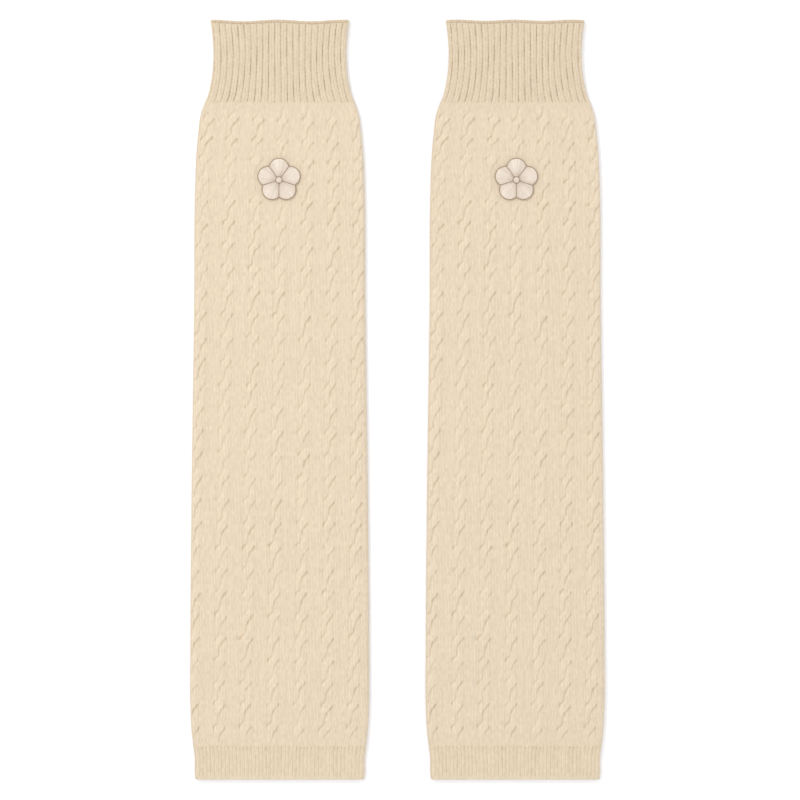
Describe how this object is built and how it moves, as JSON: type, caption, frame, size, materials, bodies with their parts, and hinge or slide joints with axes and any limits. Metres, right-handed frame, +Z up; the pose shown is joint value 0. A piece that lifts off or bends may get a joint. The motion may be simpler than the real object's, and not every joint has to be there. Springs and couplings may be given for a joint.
{
  "type": "pair of knitted leg warmers",
  "caption": "Pair of cable-knit leg warmers laid flat side by side: flattened knitted tubes with a ribbed cuff, cable columns, a finely ribbed hem and an embroidered flower.",
  "frame": {"origin": "on the surface that the pair lies on, under the middle of the pair", "axes": "+X across the pair, +Y along the legs towards the ribbed top cuffs, +Z up from the surface"},
  "size_m": [0.2622, 0.48, 0.0059],
  "materials": {
    "rib_knit": "cream yarn in broad ribs, soft and matt",
    "cable_knit": "cream yarn in cables on plain knit, soft and matt",
    "fine_rib_knit": "cream yarn in fine ribs, soft and matt",
    "embroidery": "off-white satin-stitched thread with a slight sheen"
  },
  "bodies": {
    "root": {"cuff_left": "rib_knit", "leg_left": "cable_knit", "hem_left": "fine_rib_knit", "flower_left": "embroidery", "cuff_right": "rib_knit", "leg_right": "cable_knit", "hem_right": "fine_rib_knit", "flower_right": "embroidery"}
  },
  "joints": []
}
